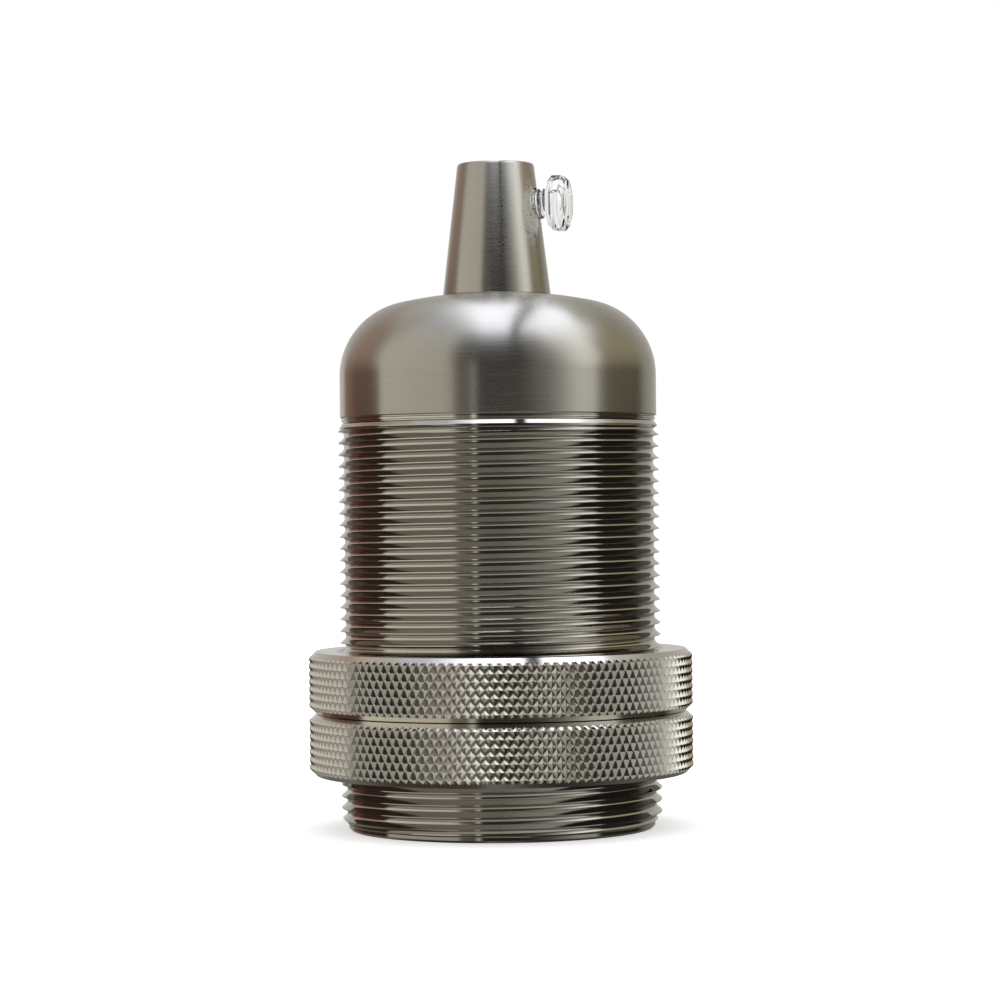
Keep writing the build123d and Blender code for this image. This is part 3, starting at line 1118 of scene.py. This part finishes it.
# The room's colours by bearing in degrees, where 0 is the camera's side.
WALL_CARDS = (
    (-180, (0.62, 0.61, 0.59)),
    (-152, (0.66, 0.65, 0.62)),
    (-145, (0.32, 0.17, 0.13)),
    (-133, (0.25, 0.13, 0.10)),
    (-127, (0.14, 0.064, 0.05)),
    (-97, (0.10, 0.048, 0.037)),
    (-93, (0.97, 0.935, 0.81)),
    (-33, (0.86, 0.825, 0.71)),
    (-30, (0.30, 0.26, 0.21)),
    (-20, (0.20, 0.18, 0.145)),
    (-18.5, (0.95, 0.93, 0.88)),
    (-16.5, (0.95, 0.93, 0.88)),
    (-15, (0.05, 0.045, 0.04)),
    (8, (0.05, 0.045, 0.037)),
    (22, (0.08, 0.072, 0.062)),
    (36, (0.22, 0.21, 0.185)),
    (47, (0.46, 0.445, 0.41)),
    (58, (0.78, 0.765, 0.72)),
    (73, (0.82, 0.80, 0.76)),
    (79, (0.055, 0.05, 0.04)),
    (122, (0.05, 0.045, 0.03)),
    (134, (0.42, 0.40, 0.36)),
    (180, (0.60, 0.59, 0.56)),
)
MIDDLE_CARDS = (
    (-180, (0.62, 0.61, 0.58)),
    (-150, (0.50, 0.49, 0.46)),
    (-138, (0.48, 0.35, 0.285)),
    (-126, (0.43, 0.325, 0.265)),
    (-108, (0.41, 0.335, 0.285)),
    (-98, (0.76, 0.745, 0.67)),
    (-40, (0.66, 0.64, 0.575)),
    (-30, (0.14, 0.125, 0.10)),
    (-16, (0.025, 0.022, 0.018)),
    (16, (0.03, 0.027, 0.023)),
    (28, (0.16, 0.152, 0.14)),
    (42, (0.34, 0.335, 0.31)),
    (54, (0.84, 0.84, 0.82)),
    (66, (1.35, 1.35, 1.32)),
    (78, (1.25, 1.24, 1.2)),
    (88, (0.50, 0.45, 0.33)),
    (124, (0.45, 0.40, 0.28)),
    (138, (0.44, 0.42, 0.38)),
    (180, (0.62, 0.61, 0.58)),
)
UPPER_CARDS = (
    (-180, (1.6, 1.63, 1.68)),
    (-162, (0.84, 0.84, 0.82)),
    (-139, (0.70, 0.69, 0.67)),
    (-126, (0.56, 0.52, 0.48)),
    (-104, (0.58, 0.55, 0.51)),
    (-96, (0.78, 0.775, 0.73)),
    (-38, (0.70, 0.69, 0.65)),
    (-28, (0.20, 0.18, 0.15)),
    (-16, (0.08, 0.072, 0.06)),
    (12, (0.05, 0.046, 0.04)),
    (36, (0.30, 0.29, 0.28)),
    (50, (1.5, 1.54, 1.60)),
    (94, (1.75, 1.80, 1.88)),
    (104, (1.35, 1.38, 1.42)),
    (114, (0.86, 0.86, 0.85)),
    (124, (0.58, 0.57, 0.54)),
    (140, (0.54, 0.53, 0.51)),
    (162, (0.80, 0.80, 0.78)),
    (180, (1.6, 1.63, 1.68)),
)
GROUND_CARDS = (
    (-180, (0.14, 0.135, 0.125)),
    (-146, (0.18, 0.17, 0.155)),
    (-132, (0.06, 0.045, 0.036)),
    (-98, (0.06, 0.045, 0.036)),
    (-90, (0.37, 0.355, 0.32)),
    (-40, (0.40, 0.385, 0.35)),
    (-24, (0.40, 0.39, 0.36)),
    (0, (0.38, 0.37, 0.345)),
    (24, (0.50, 0.49, 0.46)),
    (46, (0.60, 0.59, 0.565)),
    (66, (0.70, 0.69, 0.66)),
    (74, (0.025, 0.025, 0.022)),
    (122, (0.025, 0.025, 0.022)),
    (140, (0.12, 0.118, 0.11)),
    (180, (0.14, 0.135, 0.125)),
)
# The light box's tones from far left to far right, with one dark strut.
LIGHT_BOX_TONES = (
    (-1.0, 0.26),
    (-0.42, 0.30),
    (-0.24, 0.62),
    (-0.14, 1.0),
    (0.12, 1.0),
    (0.15, 0.0),
    (0.21, 0.0),
    (0.24, 0.85),
    (0.34, 1.0),
    (0.84, 1.0),
    (1.0, 0.60),
)


@dataclass
class Room:
    """The world: a soft white room, whose cards and light box show only in glossy reflections."""

    tree: NodeTree
    azimuth: float
    box_strength: float = 2.4
    daylight: Triple = (0.95, 1.0, 1.14)
    wall_foot: float = 0.36
    least_rise: float = 0.3
    clear_share: float = 0.72

    def ramp(self, place_at: Socket, cards: Cards, reach: float) -> Socket:
        """A colour ramp that runs from one end of a row of cards to the other.

        Args:
            place_at: where on the ramp a ray falls, from 0 to 1.
            cards: place and colour of each card, first and last at the row's ends.
            reach: how far the row runs on either side of 0.

        Returns:
            The colour.
        """
        node = add_node(self.tree, "ShaderNodeValToRGB")
        elements = node.color_ramp.elements
        elements[0].color = (*cards[0][1], 1)
        elements[-1].color = (*cards[-1][1], 1)
        for stop, colour in cards[1:-1]:
            elements.new((stop + reach) / (2 * reach)).color = (*colour, 1)
        self.tree.links.new(place_at, node.inputs["Fac"])
        return node.outputs["Color"]

    def scaled(self, colour: Socket, share: float) -> Socket:
        """Makes a colour brighter or darker.

        Args:
            colour: the colour.
            share: what it is multiplied by.

        Returns:
            The new colour.
        """
        node = add_node(self.tree, "ShaderNodeVectorMath", operation="SCALE")
        node.inputs["Scale"].default_value = share
        self.tree.links.new(colour, node.inputs[0])
        return node.outputs[0]

    def over(self, rise: Socket, edge: Pair, inner: Socket, outer: Socket) -> Socket:
        """Passes from one part of the room to the next, with a soft edge.

        Args:
            rise: the ray's upward share.
            edge: where the change starts and where it ends.
            inner: the colour before the edge.
            outer: the colour beyond it.

        Returns:
            The colour of both parts.
        """
        step = add_node(self.tree, "ShaderNodeMapRange", interpolation_type="SMOOTHSTEP")
        step.inputs["From Min"].default_value, step.inputs["From Max"].default_value = edge
        self.tree.links.new(rise, step.inputs["Value"])
        mix = add_node(self.tree, "ShaderNodeMix", data_type="RGBA", clamp_result=False)
        self.tree.links.new(step.outputs["Result"], mix.inputs["Factor"])
        self.tree.links.new(inner, mix.inputs["A"])
        self.tree.links.new(outer, mix.inputs["B"])
        return mix.outputs["Result"]

    def reflected(self) -> Socket:
        """What glossy rays see: walls, a middle and an upper part, the light box and the ground.

        Returns:
            The colour.
        """
        tree = self.tree
        turned = add_node(tree, "ShaderNodeVectorRotate", rotation_type="Z_AXIS")
        turned.inputs["Angle"].default_value = -self.azimuth
        tree.links.new(add_node(tree, "ShaderNodeTexCoord").outputs["Generated"], turned.inputs["Vector"])
        split = add_node(tree, "ShaderNodeSeparateXYZ")
        tree.links.new(turned.outputs[0], split.inputs[0])
        side, rise = split.outputs["X"], split.outputs["Z"]
        nearness = calculate(tree, "MULTIPLY", split.outputs["Y"], -1)
        bearing = calculate(tree, "ARCTAN2", side, nearness)
        around = calculate(tree, "ADD", calculate(tree, "DIVIDE", bearing, 2 * math.pi), 0.5)
        steep = calculate(tree, "MAXIMUM", rise, self.least_rise)
        lean = calculate(tree, "DIVIDE", side, steep)
        aside = calculate(tree, "ADD", calculate(tree, "MULTIPLY", lean, 0.5), 0.5)
        walls, middle, upper, ground = (
            self.ramp(around, cards, 180) for cards in (WALL_CARDS, MIDDLE_CARDS, UPPER_CARDS, GROUND_CARDS)
        )
        tones = tuple((at, tuple(tone * share for share in self.daylight)) for at, tone in LIGHT_BOX_TONES)
        light_box = self.scaled(self.ramp(aside, tones, 1), self.box_strength)
        room = self.over(rise, (-0.01, -0.15), walls, self.scaled(walls, self.wall_foot))
        room = self.over(rise, (0.07, 0.19), room, middle)
        room = self.over(rise, (0.58, 0.76), room, upper)
        room = self.over(rise, (0.80, 0.88), room, light_box)
        return self.over(rise, (-0.26, -0.40), room, ground)

    def build(self) -> None:
        """Shows the room to glossy rays, a paler one through clear plastic, and white to all others."""
        tree = self.tree
        path = add_node(tree, "ShaderNodeLightPath")
        through = calculate(tree, "MULTIPLY", path.outputs["Is Transmission Ray"], -self.clear_share)
        share = calculate(tree, "ADD", through, 1.0)
        seen = calculate(tree, "MULTIPLY", path.outputs["Is Glossy Ray"], share)
        choose = add_node(tree, "ShaderNodeMix", data_type="RGBA")
        choose.inputs["A"].default_value = (1, 1, 1, 1)
        tree.links.new(seen, choose.inputs["Factor"])
        tree.links.new(self.reflected(), choose.inputs["B"])
        tree.links.new(choose.outputs["Result"], tree.nodes["Background"].inputs["Color"])


@dataclass
class Studio:
    """The camera, the floor and the room that the holder is seen in."""

    azimuth: float = math.radians(15.0)
    distance: float = 0.400
    eye: float = 0.0419
    lens: float = 112.3
    roll: float = math.radians(-0.6)
    shift: float = 0.001
    floor_radius: float = 6.0
    floor_lift: float = 0.35

    def camera(self) -> None:
        """Sets the camera at the photograph's viewing angle."""
        deselect()
        away = (math.sin(self.azimuth), -math.cos(self.azimuth))
        bpy.ops.object.camera_add(
            location=(self.distance * away[0], self.distance * away[1], self.eye),
            rotation=(math.pi / 2, 0, self.azimuth),
        )
        camera = bpy.context.object
        camera.rotation_mode = "XYZ"
        camera.matrix_world = camera.matrix_world @ Matrix.Rotation(self.roll, 4, "Z")
        camera.data.lens = self.lens
        camera.data.sensor_width = 36
        camera.data.clip_start = 0.01
        camera.data.shift_x = self.shift
        bpy.context.scene.camera = camera

    def floor(self) -> None:
        """Lays the white floor: it keeps the holder's shadow, and only the camera sees its lift."""
        deselect()
        bpy.ops.mesh.primitive_circle_add(vertices=96, radius=self.floor_radius, fill_type="NGON")
        floor = bpy.context.object
        floor.name = "floor"
        material = bpy.data.materials.new("white_floor")
        material.use_nodes = True
        tree = material.node_tree
        shader = tree.nodes["Principled BSDF"]
        shader.inputs["Base Color"].default_value = (1, 1, 1, 1)
        shader.inputs["Roughness"].default_value = 1.0
        shader.inputs["Specular IOR Level"].default_value = 0.0
        lift = add_node(tree, "ShaderNodeMix", data_type="RGBA")
        lift.inputs["A"].default_value = (0, 0, 0, 1)
        lift.inputs["B"].default_value = (self.floor_lift, self.floor_lift, self.floor_lift, 1)
        path = add_node(tree, "ShaderNodeLightPath")
        tree.links.new(path.outputs["Is Camera Ray"], lift.inputs["Factor"])
        tree.links.new(lift.outputs["Result"], shader.inputs["Emission Color"])
        shader.inputs["Emission Strength"].default_value = 1.0
        floor.data.materials.append(material)
        floor.visible_glossy = False

    def build(self) -> None:
        """Sets up camera, floor and room."""
        self.camera()
        self.floor()
        world = bpy.data.worlds.new("white_room")
        world.use_nodes = True
        bpy.context.scene.world = world
        Room(world.node_tree, self.azimuth).build()
        bpy.context.scene.view_settings.view_transform = "Standard"


def extent(node: str) -> tuple[Vector, Vector]:
    """A node's lowest and highest corners in millimetres.

    Args:
        node: the node's name.

    Returns:
        Both corners.
    """
    low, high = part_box(node)
    return low / MM, high / MM


def main() -> None:
    """Builds the pieces in order, from the barrel up."""
    logging.basicConfig(level=logging.INFO, format="%(message)s")
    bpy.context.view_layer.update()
    wardrobe = Wardrobe({"brush_lines": brush_lines(), "fine_mottle": fine_mottle()})
    wardrobe.dress_fittings()
    barrel_high = extent("threaded_skirt")[1]
    cap_low, cap_high = extent("dome_cap")
    Barrel(crest=barrel_high.x, top=barrel_high.z, seam=cap_low.z).build(wardrobe)
    for name, body in (("upper", "upper_ring"), ("lower", "lower_ring")):
        node = f"shade_ring_{name}"
        low, high = extent(node)
        ShadeRing(f"ring_{name}", body, node, low.z, high.z, high.x).build(wardrobe)
    DomedCap(seam=cap_low.z, land=cap_high.z, radius=cap_high.x).build(wardrobe)
    grip_low, grip_high = extent("cable_grip")
    CableGrip(low=grip_low.z, high=grip_high.z).build(wardrobe)
    screw_low, screw_high = extent("grip_screw")
    ThumbScrew(level=(screw_low.z + screw_high.z) / 2).build(wardrobe)
    leaf_low, leaf_high = extent("contact_leaf")
    ContactLeaf(low=leaf_low, high=leaf_high).build(wardrobe)
    Studio().build()


if __name__ == "__main__":
    main()
